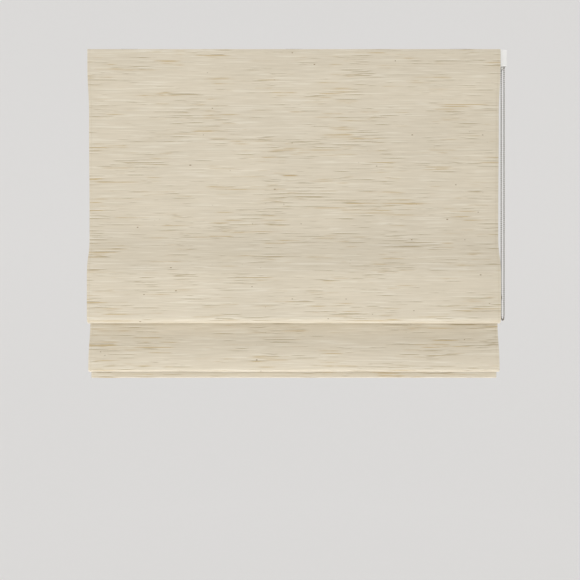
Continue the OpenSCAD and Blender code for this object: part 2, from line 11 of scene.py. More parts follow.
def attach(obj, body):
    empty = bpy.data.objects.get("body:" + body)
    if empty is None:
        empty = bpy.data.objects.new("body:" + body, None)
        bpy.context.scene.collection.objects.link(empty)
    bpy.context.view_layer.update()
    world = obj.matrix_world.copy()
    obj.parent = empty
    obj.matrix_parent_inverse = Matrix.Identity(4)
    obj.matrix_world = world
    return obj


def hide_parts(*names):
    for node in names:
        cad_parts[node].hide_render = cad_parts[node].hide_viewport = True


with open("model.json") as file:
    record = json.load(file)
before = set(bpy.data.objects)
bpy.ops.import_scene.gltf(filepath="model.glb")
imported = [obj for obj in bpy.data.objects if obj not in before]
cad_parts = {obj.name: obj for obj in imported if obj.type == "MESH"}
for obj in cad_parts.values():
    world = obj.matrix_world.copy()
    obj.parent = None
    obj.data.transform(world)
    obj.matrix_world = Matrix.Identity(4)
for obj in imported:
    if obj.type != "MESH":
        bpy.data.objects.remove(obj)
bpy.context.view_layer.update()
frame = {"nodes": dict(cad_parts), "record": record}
nodes = frame["nodes"]
MM = 0.001

# Sizes that the CAD model shares, in millimetres
CLOTH_W = 1200.0
CLOTH_T = 0.8
SIDE_HEM = 35.0
LINING_W = 1129.0
LINING_MID = 1.1          # the lining's middle behind the cloth's front surface
LINING_T = 0.36
POCKET_OUT = 4.1          # a rod's centre behind the cloth's front surface
POCKET_MID = 2.9          # radius of a rod pocket at the middle of its cloth
ROD_LINES = [(-1.589, -188.0), (3.656, -520.0), (8.579, -773.798), (15.079, -782.798)]
CORD_X = [-495.0, -165.0, 165.0, 495.0]
RING_WIRE = 4.25          # from a rod's centre back to the near side of its rings' wire
CHAIN_X, WHEEL_R, WHEEL_Z, LOOP_Z = 613.0, 15.279, -26.0, -776.0
BEAD_D, BEAD_PITCH, LINK_D, STRAND_BEADS = 4.5, 6.0, 1.0, 125
HALF_WHEEL = 8            # steps from bead to bead round half the wheel

# The cloth's line from its top edge down, as (length, turn in degrees) of straights and arcs
CLOTH_START = (-24.9, -3.0, -90.0)   # y, z and heading at the top edge
TOP_RUN = [(47, 0), (69.888, 15.8503), (69.888, -15.8503), (166.028, 1.8104), (166.028, -1.8104)]
FRONT_FOLD = [(30, 0), (57.8674, -31.4776), (57.8674, 31.4776), (121.398, 0), (60.511, 180), (2, 0)]
SECOND_FOLD = [(78.2984, -18.0945), (78.2984, 18.0945), (28.2743, 180),
               (72.734, -7.90772), (72.734, 7.90772)]
PINCH = [(4.71239, -180)]
HEM_FALL = [(34, 0), (51.4519, 4.45657), (51.4519, -4.45657)]
HEM_TURN = [(35, 0), (10.0531, 180), (34, 0)]
LINING_RUN = TOP_RUN + FRONT_FOLD + PINCH + SECOND_FOLD + PINCH + HEM_FALL
CLOTH_RUN = LINING_RUN + HEM_TURN

# How finely the cloth is drawn, in mm and degrees
ROW_STEP, ROW_BEND = 6.0, 9.0        # longest step and largest turn from row to row
FINE_STEP, FINE_BEND = 1.0, 3.0      # the same for finding the pocket seams
COLUMN = 12.0                        # between the columns of the front
TURNED_COLUMNS = (SIDE_HEM, 22, 9, 2)   # columns of a side turning, from the cloth's edge
BEND_COLUMNS = 7                     # round the cloth's edge
EDGE_COLUMNS = (4, 8)                # front columns beside the bend, from the cloth's edge
CLOTH_DRAWN_T = CLOTH_T * 0.95       # leaves air between turned layers
LINING_COLUMNS = 57
TUCK_FROM, TUCK_TO, TUCK_ROWS = -12, -348, 19   # the lining's way round a rod, and its rows there
ROD_PASSED, ROD_NEAR = 0.5, 0.9      # a row so far past a rod's line has missed it, or so near is at it

# Soft waves of the hung cloth, in mm: cell across, cell down and height
BROAD_ACROSS, BROAD_DOWN, BROAD_HIGH = 330, 240, 1.1
SMALL_ACROSS, SMALL_DOWN, SMALL_HIGH = 120, 160, 0.3
RIPPLE_ACROSS, RIPPLE_DOWN, RIPPLE_HIGH = 150, 900, 0.7
BROAD_SLICE, SMALL_SLICE, RIPPLE_SLICE = 3.7, 9.1, 5.3   # the slice of noise that each takes
FRONT_REACH, SECOND_REACH = 45, 30   # how far the ripple reaches from each fold's edge
RAIL_STILL, RAIL_LOOSE = 55, 150     # from the top edge: still up to the first, loose from the second
HEM_STILL, HEM_LOOSE = 5, 60         # the same up from the hem
ROD_STILL, ROD_LOOSE = 4, (60, 60, 45, 45)   # and from each rod

# Seams and ties, in mm
SEAM_IN = 7.0             # side seams from the cloth's edges
SEAM_SET = -0.05          # a seam's line, just before the cloth's front surface
SIDE_SEAM_PAST = 30       # how far a side seam runs on into the hem
HEM_SEAM_UP = 4.5         # the hem's back seam from the turned edge
HEM_SEAM_FRONT = 2        # the hem's front seam below its start
SEAM_POINTS = 90
POCKET_SEAM_OFF = (4.2, 4.2, 4.6, 4.6)   # above and below each rod's line
POCKET_SEAM_IN = 2        # from the lining's edges
POCKET_SEAM_SET = 0.02    # behind the lining's back
TIE_IN = 0.35             # a tie's centre before the near side of the ring's wire
TIE_TURNS = (-0.9, 0.0, 0.9)   # the places of a tie's three turns along the rod

WAVE_PERIOD = 0.314       # of a Wave texture at scale 1


def length(pieces):
    """Length of a run of straights and arcs"""
    return sum(run for run, _ in pieces)


# Lengths from the top edge down to the rods, the folds' edges and the hem
ROD_AT = [length(TOP_RUN[:3]), length(TOP_RUN)]
ROD_AT.append(ROD_AT[1] + length(FRONT_FOLD) + length(PINCH) / 2)
ROD_AT.append(ROD_AT[2] + length(SECOND_FOLD) + length(PINCH))
FRONT_EDGE = ROD_AT[1] + length(FRONT_FOLD[:4]) + FRONT_FOLD[4][0] / 2
SECOND_EDGE = ROD_AT[2] + length(PINCH) / 2 + length(SECOND_FOLD[:2]) + SECOND_FOLD[2][0] / 2
HEM_FROM = length(LINING_RUN)
CLOTH_TO = length(CLOTH_RUN)


def srgb(code):
    """Linear RGBA of an sRGB hex colour"""
    parts = [int(code[i:i + 2], 16) / 255 for i in (1, 3, 5)]
    return tuple(c / 12.92 if c <= 0.04045 else ((c + 0.055) / 1.055) ** 2.4 for c in parts) + (1.0,)


def add(tree, kind, inputs=None, **settings):
    """Adds a node with its settings; inputs are values or other nodes' sockets, by name or number"""
    made = tree.nodes.new(kind)
    for name, value in settings.items():
        setattr(made, name, value)
    for name, value in (inputs or {}).items():
        if isinstance(value, bpy.types.NodeSocket):
            tree.links.new(value, made.inputs[name])
        else:
            made.inputs[name].default_value = value
    return made


# Cloth

def cloth_line(pieces, step=ROW_STEP, bend=ROW_BEND):
    """Points on the cloth's front surface: y, z, heading in degrees and length from the top, in mm"""
    y, z, heading = CLOTH_START
    along = 0.0
    line = [(y, z, heading, along)]
    for run, turn in pieces:
        count = max(math.ceil(run / step), math.ceil(abs(turn) / bend))
        part = turn / count
        hop = run / count
        if turn:
            hop = 2 * run / math.radians(turn) * math.sin(math.radians(part / 2))
        for _ in range(count):
            way = math.radians(heading + part / 2)
            y, z = y + hop * math.cos(way), z + hop * math.sin(way)
            heading += part
            along += run / count
            line.append((y, z, heading, along))
    return line


def ease(x, low, high):
    """A smooth step from 0 at low to 1 at high"""
    t = min(max((x - low) / (high - low), 0.0), 1.0)
    return t * t * (3 - 2 * t)


def drape(x, s):
    """How far the hung cloth stands off its true line, in mm: soft waves that die out at rods, rail
    and hem, with a ripple at the folds' edges"""
    loose = ease(s, RAIL_STILL, RAIL_LOOSE) * (1 - ease(s, HEM_FROM - HEM_LOOSE, HEM_FROM - HEM_STILL))
    for at, reach in zip(ROD_AT, ROD_LOOSE):
        loose *= ease(abs(s - at), ROD_STILL, reach)
    broad = noise.noise(Vector((x / BROAD_ACROSS, s / BROAD_DOWN, BROAD_SLICE)))
    small = noise.noise(Vector((x / SMALL_ACROSS, s / SMALL_DOWN, SMALL_SLICE)))
    ripple = noise.noise(Vector((x / RIPPLE_ACROSS, RIPPLE_SLICE, s / RIPPLE_DOWN)))
    edge = (math.exp(-((s - FRONT_EDGE) / FRONT_REACH) ** 2)
            + math.exp(-((s - SECOND_EDGE) / SECOND_REACH) ** 2))
    return loose * (BROAD_HIGH * broad + SMALL_HIGH * small + RIPPLE_HIGH * edge * ripple)


def place(point, x, d):
    """A point d mm behind the cloth's front surface, in metres"""
    y, z, heading, s = point
    d += drape(x, s)
    turn = math.radians(heading)
    return (x * MM, (y - d * math.sin(turn)) * MM, (z + d * math.cos(turn)) * MM)


def sheet_mesh(name, rows, across, at):
    """A grid of cloth: at(row, column) gives its point, and rows and across its lengths for the UV map"""
    verts = [at(r, c) for r in range(len(rows)) for c in range(len(across))]
    wide = len(across)
    faces = [(r * wide + c, (r + 1) * wide + c, (r + 1) * wide + c + 1, r * wide + c + 1)
             for r in range(len(rows) - 1) for c in range(wide - 1)]
    mesh = bpy.data.meshes.new(name)
    mesh.from_pydata(verts, [], faces)
    uv = mesh.uv_layers.new(name="cloth")
    spread = np.array([(u * MM, v * MM) for v in rows for u in across], dtype=np.float32)
    index = np.empty(len(mesh.loops), dtype=np.int32)
    mesh.loops.foreach_get("vertex_index", index)
    uv.data.foreach_set("uv", spread[index].ravel())
    mesh.polygons.foreach_set("use_smooth", [True] * len(mesh.polygons))
    obj = bpy.data.objects.new(name, mesh)
    bpy.context.collection.objects.link(obj)
    return obj


def thicken(obj, thickness):
    """Gives a sheet its thickness in mm, half to each side"""
    solid = obj.modifiers.new("thickness", "SOLIDIFY")
    solid.thickness = thickness * MM
    solid.offset = 0
    solid.use_quality_normals = True
    return obj


def face_cloth():
    """Front cloth with both side hems turned to the back, as one sheet"""
    half, layer = CLOTH_W / 2, CLOTH_T / 2
    front = np.arange(-half + COLUMN, half - COLUMN + 1, COLUMN)
    turned = [(-half + inset, 3 * layer) for inset in TURNED_COLUMNS]
    bend = [(-half + layer - layer * math.sin(a), CLOTH_T + layer * math.cos(a))
            for a in np.linspace(0, math.pi, BEND_COLUMNS)]
    left = turned + bend + [(-half + inset, layer) for inset in EDGE_COLUMNS]
    cross = left + [(x, layer) for x in front] + [(-x, d) for x, d in reversed(left)]
    spread = [0.0]
    for (x0, d0), (x1, d1) in zip(cross, cross[1:]):
        spread.append(spread[-1] + math.hypot(x1 - x0, d1 - d0))
    line = cloth_line(CLOTH_RUN)
    return sheet_mesh("slub_cloth", [p[3] for p in line], spread,
                      lambda r, c: place(line[r], *cross[c]))


def lining():
    """Lining behind the cloth, with a tuck round each rod"""
    line = cloth_line(LINING_RUN)
    tuck = [math.radians(a) for a in np.linspace(TUCK_FROM, TUCK_TO, TUCK_ROWS)]
    tuck_step = POCKET_MID * math.radians(TUCK_FROM - TUCK_TO) / (TUCK_ROWS - 1)
    rows, route = [], []
    s_cut, last = 0.0, line[0][3]
    left = list(ROD_AT)
    for point in line:
        while left and point[3] > left[0] + ROD_PASSED:
            left.pop(0)
        if left and abs(point[3] - left[0]) < ROD_NEAR:
            left.pop(0)
            for a in tuck:
                route.append((point, a))
                rows.append(s_cut)
                s_cut += tuck_step
            continue
        s_cut += point[3] - last
        last = point[3]
        route.append((point, None))
        rows.append(s_cut)
    across = np.linspace(-LINING_W / 2, LINING_W / 2, LINING_COLUMNS)

    def at(r, c):
        point, a = route[r]
        if a is None:
            return place(point, across[c], LINING_MID)
        y, z, heading, _ = point
        turn = math.radians(heading)
        back = POCKET_OUT - POCKET_MID * math.cos(a)
        side = POCKET_MID * math.sin(a)
        return (across[c] * MM, (y - back * math.sin(turn) + side * math.cos(turn)) * MM,
                (z + back * math.cos(turn) + side * math.sin(turn)) * MM)

    return sheet_mesh("sateen_lining", rows, across, at)


# What repeats: stitches, ring ties and chain beads

def new_tree(name, inputs, out):
    """A Geometry Nodes tree with named inputs; returns it with its input sockets"""
    tree = bpy.data.node_groups.new(name, "GeometryNodeTree")
    for label, kind in inputs:
        tree.interface.new_socket(label, in_out="INPUT", socket_type="NodeSocket" + kind)
    tree.interface.new_socket(out, in_out="OUTPUT", socket_type="NodeSocketGeometry")
    return tree, add(tree, "NodeGroupInput").outputs


def close_tree(tree, geometry, material, out):
    """Ends a tree with smooth, real faces in one material"""
    real = add(tree, "GeometryNodeRealizeInstances", {"Geometry": geometry})
    smooth = add(tree, "GeometryNodeSetShadeSmooth", {"Geometry": real.outputs["Geometry"]})
    dressed = add(tree, "GeometryNodeSetMaterial",
                  {"Geometry": smooth.outputs["Geometry"], "Material": material})
    add(tree, "NodeGroupOutput", {out: dressed.outputs["Geometry"]})
    return tree


def stitch_tree():
    """Round stitches along a route: one every pitch, each as long and thick as asked"""
    tree, given = new_tree("stitch_row", [("Route", "Geometry"), ("Pitch", "Float"), ("Length", "Float"),
                                          ("Thickness", "Float"), ("Thread", "Material")], "Stitches")
    route = add(tree, "GeometryNodeMeshToCurve", {"Mesh": given["Route"]})
    points = add(tree, "GeometryNodeResampleCurve",
                 {"Curve": route.outputs["Curve"], "Length": given["Pitch"]}, mode="LENGTH")
    loop = add(tree, "GeometryNodeMeshUVSphere", {"Segments": 6, "Rings": 5, "Radius": 0.5})
    size = add(tree, "ShaderNodeCombineXYZ",
               {"X": given["Thickness"], "Y": given["Thickness"], "Z": given["Length"]})
    stitch = add(tree, "GeometryNodeTransform",
                 {"Geometry": loop.outputs["Mesh"], "Scale": size.outputs["Vector"]})
    way = add(tree, "GeometryNodeInputTangent")
    turn = add(tree, "FunctionNodeAlignRotationToVector", {"Vector": way.outputs["Tangent"]}, axis="Z")
    row = add(tree, "GeometryNodeInstanceOnPoints",
              {"Points": points.outputs["Curve"], "Instance": stitch.outputs["Geometry"],
               "Rotation": turn.outputs["Rotation"]})
    return close_tree(tree, row.outputs["Instances"], given["Thread"], "Stitches")


def tie_tree():
    """A loop of thread about an axis along X on each point"""
    tree, given = new_tree("ring_tie", [("Places", "Geometry"), ("Radius", "Float"),
                                        ("Thickness", "Float"), ("Thread", "Material")], "Ties")
    half = add(tree, "ShaderNodeMath", {0: given["Thickness"], 1: 0.5}, operation="MULTIPLY")
    ring = add(tree, "GeometryNodeCurvePrimitiveCircle", {"Resolution": 14, "Radius": given["Radius"]})
    thread = add(tree, "GeometryNodeCurvePrimitiveCircle",
                 {"Resolution": 6, "Radius": half.outputs["Value"]})
    loop = add(tree, "GeometryNodeCurveToMesh",
               {"Curve": ring.outputs["Curve"], "Profile Curve": thread.outputs["Curve"]})
    turned = add(tree, "GeometryNodeTransform",
                 {"Geometry": loop.outputs["Mesh"], "Rotation": (0, math.pi / 2, 0)})
    ties = add(tree, "GeometryNodeInstanceOnPoints",
               {"Points": given["Places"], "Instance": turned.outputs["Geometry"]})
    return close_tree(tree, ties.outputs["Instances"], given["Thread"], "Ties")


def chain_tree():
    """Beads on each point of a loop, joined by a wire"""
    tree, given = new_tree("bead_chain", [("Loop", "Geometry"), ("Bead", "Float"), ("Link", "Float"),
                                          ("Metal", "Material")], "Chain")
    bead_r = add(tree, "ShaderNodeMath", {0: given["Bead"], 1: 0.5}, operation="MULTIPLY")
    link_r = add(tree, "ShaderNodeMath", {0: given["Link"], 1: 0.5}, operation="MULTIPLY")
    bead = add(tree, "GeometryNodeMeshIcoSphere",
               {"Radius": bead_r.outputs["Value"], "Subdivisions": 2})
    beads = add(tree, "GeometryNodeInstanceOnPoints",
                {"Points": given["Loop"], "Instance": bead.outputs["Mesh"]})
    line = add(tree, "GeometryNodeMeshToCurve", {"Mesh": given["Loop"]})
    wire = add(tree, "GeometryNodeCurvePrimitiveCircle",
               {"Resolution": 6, "Radius": link_r.outputs["Value"]})
    links = add(tree, "GeometryNodeCurveToMesh",
                {"Curve": line.outputs["Curve"], "Profile Curve": wire.outputs["Curve"]})
    both = add(tree, "GeometryNodeJoinGeometry")
    tree.links.new(beads.outputs["Instances"], both.inputs["Geometry"])
    tree.links.new(links.outputs["Mesh"], both.inputs["Geometry"])
    return close_tree(tree, both.outputs["Geometry"], given["Metal"], "Chain")


def grow(name, tree, points, edges, values):
    """Runs a tree on points and edges in metres and returns its result as a plain mesh object"""
    base = bpy.data.meshes.new(name + "_route")
    base.from_pydata(points, edges, [])
    carrier = bpy.data.objects.new(name + "_route", base)
    bpy.context.collection.objects.link(carrier)
    modifier = carrier.modifiers.new("grow", "NODES")
    modifier.node_group = tree
    for item in tree.interface.items_tree:
        if item.in_out == "INPUT" and item.name in values:
            modifier[item.identifier] = values[item.name]
    ready = carrier.evaluated_get(bpy.context.evaluated_depsgraph_get())
    mesh = bpy.data.meshes.new_from_object(ready)
    carrier.modifiers.remove(modifier)
    bpy.data.objects.remove(carrier)
    bpy.data.meshes.remove(base)
    mesh.name = name
    obj = bpy.data.objects.new(name, mesh)
    bpy.context.collection.objects.link(obj)
    return obj


def routes_mesh(routes):
    """Points and edges of several open routes"""
    points, edges = [], []
    for route in routes:
        edges += [(len(points) + i, len(points) + i + 1) for i in range(len(route) - 1)]
        points += route
    return points, edges


# Materials

def new_material(name):
    """An empty material with its shader; returns it with its node tree and the shader"""
    material = bpy.data.materials.new(name)
    material.use_nodes = True
    tree = material.node_tree
    tree.nodes.clear()
    shader = add(tree, "ShaderNodeBsdfPrincipled")
    add(tree, "ShaderNodeOutputMaterial", {"Surface": shader.outputs["BSDF"]})
    return material, tree, shader


def slub_weave():
    """Slub-weave polyester linen: matt cream weft with long taupe and golden slubs that run across the
    blind, over a fine warp. A weft row is drawn 2.6 mm high, about four yarns, and a warp thread 1.1 mm
    wide, so that they show."""
    weft, warp = 2.6 * MM, 1.1 * MM
    wander_long, wander_high = 180 * MM, 1.8 * MM
    group_wide, group_high, group_pull = 240 * MM, 60 * MM, 0.36
    mist_size = 220 * MM
    slub_rise, relief = 1.2, 0.35 * MM
    material, tree, shader = new_material("slub_weave_linen")
    uv = add(tree, "ShaderNodeUVMap", uv_map="cloth")
    axes = add(tree, "ShaderNodeSeparateXYZ", {0: uv.outputs["UV"]})
    across, down = axes.outputs["X"], axes.outputs["Y"]
    wander = add(tree, "ShaderNodeTexNoise",
                 {"Vector": uv.outputs["UV"], "Scale": 1 / wander_long, "Detail": 1.0})
    lifted = add(tree, "ShaderNodeMath", {0: wander.outputs["Fac"], 1: wander_high, 2: down},
                 operation="MULTIPLY_ADD")
    count = add(tree, "ShaderNodeMath", {0: lifted.outputs[0], 1: weft}, operation="DIVIDE")
    row = add(tree, "ShaderNodeMath", {0: count.outputs[0]}, operation="FLOOR")
    below = add(tree, "ShaderNodeMath", {0: row.outputs[0], 1: 1.0}, operation="ADD")

    def yarn(long_mm, step, start, detail=2.0, at_row=row):
        """Noise that runs along each weft row by itself; a slub is about long_mm, and step and start
        pick each row's own line of the noise"""
        u = add(tree, "ShaderNodeMath", {0: across, 1: long_mm * MM}, operation="DIVIDE")
        v = add(tree, "ShaderNodeMath", {0: at_row.outputs[0], 1: step, 2: start},
                operation="MULTIPLY_ADD")
        at = add(tree, "ShaderNodeCombineXYZ", {"X": u.outputs[0], "Y": v.outputs[0]})
        drawn = add(tree, "ShaderNodeTexNoise", {"Vector": at.outputs[0], "Scale": 1.0, "Detail": detail})
        return drawn.outputs["Fac"]

    def share(value, low, high, top):
        """How much of a yarn's colour shows: none up to low, top from high"""
        eased = add(tree, "ShaderNodeMapRange",
                    {"Value": value, "From Min": low, "From Max": high, "To Max": top},
                    interpolation_type="SMOOTHSTEP")
        return eased.outputs["Result"]

    spread = add(tree, "ShaderNodeMapping",
                 {"Vector": uv.outputs["UV"], "Scale": (1 / group_wide, 1 / group_high, 1.0)})
    crowd = add(tree, "ShaderNodeTexNoise",
                {"Vector": spread.outputs["Vector"], "Scale": 1.0, "Detail": 2.0})

    def crowded(value):
        """Slubs come in groups, with plainer cloth between them"""
        pulled = add(tree, "ShaderNodeMath", {0: crowd.outputs["Fac"], 1: group_pull, 2: value},
                     operation="MULTIPLY_ADD")
        return pulled.outputs[0]

    taupe_yarn = (125, 5.71, 11.3, 3.5)
    taupe = share(crowded(yarn(*taupe_yarn)), 0.75, 0.89, 0.78)
    golden = share(crowded(yarn(170, 3.37, 47.9, 3.5)), 0.775, 0.91, 0.85)
    pale = share(yarn(140, 4.13, 83.1), 0.52, 0.72, 0.6)
    # A pale line is painted one row above each taupe slub, as a painted highlight where the raised slub
    # catches the light: rows are counted from the top
    painted_slub_highlight = share(crowded(yarn(*taupe_yarn, below)), 0.77, 0.88, 0.45)
    speck = share(yarn(13, 7.77, 171.3, 0.0), 0.85, 0.9, 0.85)
    tone = yarn(110, 2.93, 131.7, 3.0)
    colour = add(tree, "ShaderNodeMix", {"Factor": tone, "A": srgb("#c4baa5"), "B": srgb("#e0d7c5")},
                 data_type="RGBA")
    # The pale line beside the taupe slubs is a painted highlight, not a yarn of its own
    for factor, code in ((pale, "#e3ddce"), (painted_slub_highlight, "#e6e1d4"), (taupe, "#ac9d7f"),
                         (golden, "#bea981"), (speck, "#8a7658")):
        colour = add(tree, "ShaderNodeMix",
                     {"Factor": factor, "A": colour.outputs["Result"], "B": srgb(code)},
                     data_type="RGBA")
    mist = add(tree, "ShaderNodeTexNoise",
               {"Vector": uv.outputs["UV"], "Scale": 1 / mist_size, "Detail": 2.0})
    veil = add(tree, "ShaderNodeMapRange", {"Value": mist.outputs["Fac"], "To Min": 0.95, "To Max": 1.05})
    shade = add(tree, "ShaderNodeVectorMath",
                {0: colour.outputs["Result"], 3: veil.outputs["Result"]}, operation="SCALE")

    # Relief: each weft row is a rib, dented between the warp threads, and taupe slubs stand up
    wave = add(tree, "ShaderNodeMath", {0: count.outputs[0], 1: math.pi}, operation="MULTIPLY")
    rib = add(tree, "ShaderNodeMath", {0: wave.outputs[0]}, operation="SINE")
    rib_up = add(tree, "ShaderNodeMath", {0: rib.outputs[0]}, operation="ABSOLUTE")
    thread = add(tree, "ShaderNodeMath", {0: across, 1: math.pi / warp}, operation="MULTIPLY")
    cross = add(tree, "ShaderNodeMath", {0: thread.outputs[0]}, operation="SINE")
    cross_up = add(tree, "ShaderNodeMath", {0: cross.outputs[0]}, operation="ABSOLUTE")
    weave = add(tree, "ShaderNodeMath", {0: rib_up.outputs[0], 1: cross_up.outputs[0]},
                operation="MULTIPLY")
    lump = add(tree, "ShaderNodeMath", {0: taupe, 1: slub_rise, 2: weave.outputs[0]},
               operation="MULTIPLY_ADD")
    bump = add(tree, "ShaderNodeBump", {"Height": lump.outputs[0], "Strength": 0.35, "Distance": relief})
    tree.links.new(shade.outputs["Vector"], shader.inputs["Base Color"])
    tree.links.new(bump.outputs["Normal"], shader.inputs["Normal"])
    shader.inputs["Roughness"].default_value = 0.92
    shader.inputs["Specular IOR Level"].default_value = 0.2
    shader.inputs["Sheen Weight"].default_value = 0.05
    shader.inputs["Sheen Roughness"].default_value = 0.5
    return material


def sateen():
    """Cotton sateen lining: smooth off-white with a soft sheen and a fine upright weave, drawn at 0.8 mm
    so that it shows"""
    thread, mist_size, relief = 0.8 * MM, 280 * MM, 0.15 * MM
    material, tree, shader = new_material("cotton_sateen")
    uv = add(tree, "ShaderNodeUVMap", uv_map="cloth")
    weave = add(tree, "ShaderNodeTexWave",
                {"Vector": uv.outputs["UV"], "Scale": WAVE_PERIOD / thread, "Distortion": 1.5,
                 "Detail": 1.0}, bands_direction="X")
    mist = add(tree, "ShaderNodeTexNoise",
               {"Vector": uv.outputs["UV"], "Scale": 1 / mist_size, "Detail": 2.0})
    colour = add(tree, "ShaderNodeMix",
                 {"Factor": mist.outputs["Fac"], "A": srgb("#e0d9ca"), "B": srgb("#e9e3d6")},
                 data_type="RGBA")
    bump = add(tree, "ShaderNodeBump",
               {"Height": weave.outputs["Fac"], "Strength": 0.2, "Distance": relief})
    tree.links.new(colour.outputs["Result"], shader.inputs["Base Color"])
    tree.links.new(bump.outputs["Normal"], shader.inputs["Normal"])
    shader.inputs["Roughness"].default_value = 0.75
    shader.inputs["Sheen Weight"].default_value = 0.15
    return material


def speckled(name, low, high, grain_mm, depth_mm, roughness, metallic=0.0, specular=0.5,
             stretch=(1, 1, 1), coat=0.0):
    """A solid finish: two close tones, roughness and bump from one grain of that size"""
    cloud_size = 40 * MM
    material, tree, shader = new_material(name)
    place_at = add(tree, "ShaderNodeTexCoord")
    fit = add(tree, "ShaderNodeMapping", {"Vector": place_at.outputs["Object"], "Scale": stretch})
    grain = add(tree, "ShaderNodeTexNoise",
                {"Vector": fit.outputs["Vector"], "Scale": 1 / (grain_mm * MM), "Detail": 4.0})
    cloud = add(tree, "ShaderNodeTexNoise",
                {"Vector": fit.outputs["Vector"], "Scale": 1 / cloud_size, "Detail": 2.0})
    mixed = add(tree, "ShaderNodeMath", {0: grain.outputs["Fac"], 1: cloud.outputs["Fac"]},
                operation="MULTIPLY")
    colour = add(tree, "ShaderNodeMix", {"Factor": mixed.outputs[0], "A": srgb(low), "B": srgb(high)},
                 data_type="RGBA")
    rough = add(tree, "ShaderNodeMapRange",
                {"Value": grain.outputs["Fac"], "To Min": roughness * 0.85, "To Max": roughness * 1.15})
    bump = add(tree, "ShaderNodeBump",
               {"Height": grain.outputs["Fac"], "Strength": 0.25, "Distance": depth_mm * MM})
    tree.links.new(colour.outputs["Result"], shader.inputs["Base Color"])
    tree.links.new(rough.outputs["Result"], shader.inputs["Roughness"])
    tree.links.new(bump.outputs["Normal"], shader.inputs["Normal"])
    shader.inputs["Metallic"].default_value = metallic
    shader.inputs["Specular IOR Level"].default_value = specular
    shader.inputs["Coat Weight"].default_value = coat
    return material


def braid():
    """Braided polyester lift cord: white strands that cross at a slant, drawn at 1.6 mm so that they show"""
    strand, lean, relief = 1.6 * MM, 0.6, 0.2 * MM
    material, tree, shader = new_material("braided_polyester")
    place_at = add(tree, "ShaderNodeTexCoord")
    slants = []
    for slant in (lean, -lean):
        fit = add(tree, "ShaderNodeMapping",
                  {"Vector": place_at.outputs["Object"], "Rotation": (0, slant, 0)})
        bands = add(tree, "ShaderNodeTexWave",
                    {"Vector": fit.outputs["Vector"], "Scale": WAVE_PERIOD / strand}, bands_direction="Z")
        slants.append(bands.outputs["Fac"])
    crossed = add(tree, "ShaderNodeMath", {0: slants[0], 1: slants[1]}, operation="MAXIMUM")
    # The dips between the strands are drawn darker: painted shade in the grooves of the white braid
    colour = add(tree, "ShaderNodeMix",
                 {"Factor": crossed.outputs[0], "A": srgb("#dcdad2"), "B": srgb("#f4f2ec")},
                 data_type="RGBA")
    bump = add(tree, "ShaderNodeBump",
               {"Height": crossed.outputs[0], "Strength": 0.4, "Distance": relief})
    tree.links.new(colour.outputs["Result"], shader.inputs["Base Color"])
    tree.links.new(bump.outputs["Normal"], shader.inputs["Normal"])
    shader.inputs["Roughness"].default_value = 0.7
    return material


cloth_look = slub_weave()
lining_look = sateen()
cord_look = braid()
# Spun threads: dull, and a little uneven in tone
thread_look = speckled("polyester_thread", "#b9ab90", "#d2c6ae", grain_mm=0.4, depth_mm=0.05, roughness=0.8)
lining_seam = speckled("cotton_thread", "#d4cdbd", "#e6e0d3", grain_mm=0.4, depth_mm=0.05, roughness=0.8)
# The moulded grains are drawn at 0.5 mm, coarser than real, so that they show close up. From the
# photo's distance all these grains are finer than a pixel, and only soften the shine.
looks = {
    # white satin coat with a fine orange peel
    "white_rail": speckled("powder_coated_aluminium", "#e4e4e1", "#f3f3f1",
                           grain_mm=0.9, depth_mm=0.04, roughness=0.38),
    # white, with a spark-eroded grain that dulls its shine
    "white_plastic": speckled("moulded_abs", "#e6e6e3", "#f6f6f4",
                              grain_mm=0.5, depth_mm=0.03, roughness=0.45),
    # grey and a little waxy
    "grey_plastic": speckled("moulded_acetal", "#a9abac", "#bfc1c2",
                             grain_mm=0.5, depth_mm=0.03, roughness=0.5),
    # small clear pieces look milky, with a hard shine
    "clear_plastic": speckled("milky_polycarbonate", "#e8e8e4", "#f4f4f1",
                              grain_mm=1.2, depth_mm=0.01, roughness=0.2, coat=0.3),
    # cream, with a waxy skin that is streaked along the rod
    "fibreglass": speckled("pultruded_fibreglass", "#d8d2be", "#ebe6d6",
                           grain_mm=0.8, depth_mm=0.03, roughness=0.35, stretch=(0.03, 1, 1)),
    # bare metal with the die's lines along its length
    "bare_aluminium": speckled("extruded_aluminium", "#b4b5b6", "#d0d1d2",
                               grain_mm=0.6, depth_mm=0.01, roughness=0.32, metallic=1.0,
                               stretch=(0.02, 1, 1)),
    # blue-grey with a dull spangle
    "steel": speckled("zinc_plated_steel", "#a9acb0", "#c9ccce",
                      grain_mm=1.5, depth_mm=0.01, roughness=0.3, metallic=1.0),
    # black, matt from the glass at its skin
    "black_plastic": speckled("glass_filled_nylon", "#1c1d1f", "#33353a",
                              grain_mm=0.5, depth_mm=0.03, roughness=0.5),
    # a bright, slightly warm mirror with faint wear
    "nickel_beads": speckled("nickel_plate", "#77736c", "#9a958c",
                             grain_mm=2.0, depth_mm=0.01, roughness=0.18, metallic=1.0),
    "lift_cord": cord_look,
    # white hook and loop tape, dull and fuzzy
    "touch_strip": speckled("woven_nylon_tape", "#dedfdc", "#f0f0ee",
                            grain_mm=0.7, depth_mm=0.2, roughness=0.85),
}
for part in frame["record"]["subparts"]:
    look = looks.get(part["material_slot"])
    if look is not None:
        for held in nodes[part["node"]].material_slots:
            held.material = look

# Pieces on the blind

cloth = face_cloth()
cloth.data.materials.append(cloth_look)
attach(thicken(cloth, CLOTH_DRAWN_T), "blind")
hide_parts("face_cloth")

backing = lining()
backing.data.materials.append(lining_look)
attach(thicken(backing, LINING_T), "blind")
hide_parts("lining")

stitches = stitch_tree()
cloth_stitch = {"Pitch": 4.5 * MM, "Length": 3.4 * MM, "Thickness": 0.55 * MM, "Thread": thread_look}
pocket_stitch = {"Pitch": 4.0 * MM, "Length": 3.0 * MM, "Thickness": 0.45 * MM, "Thread": lining_seam}

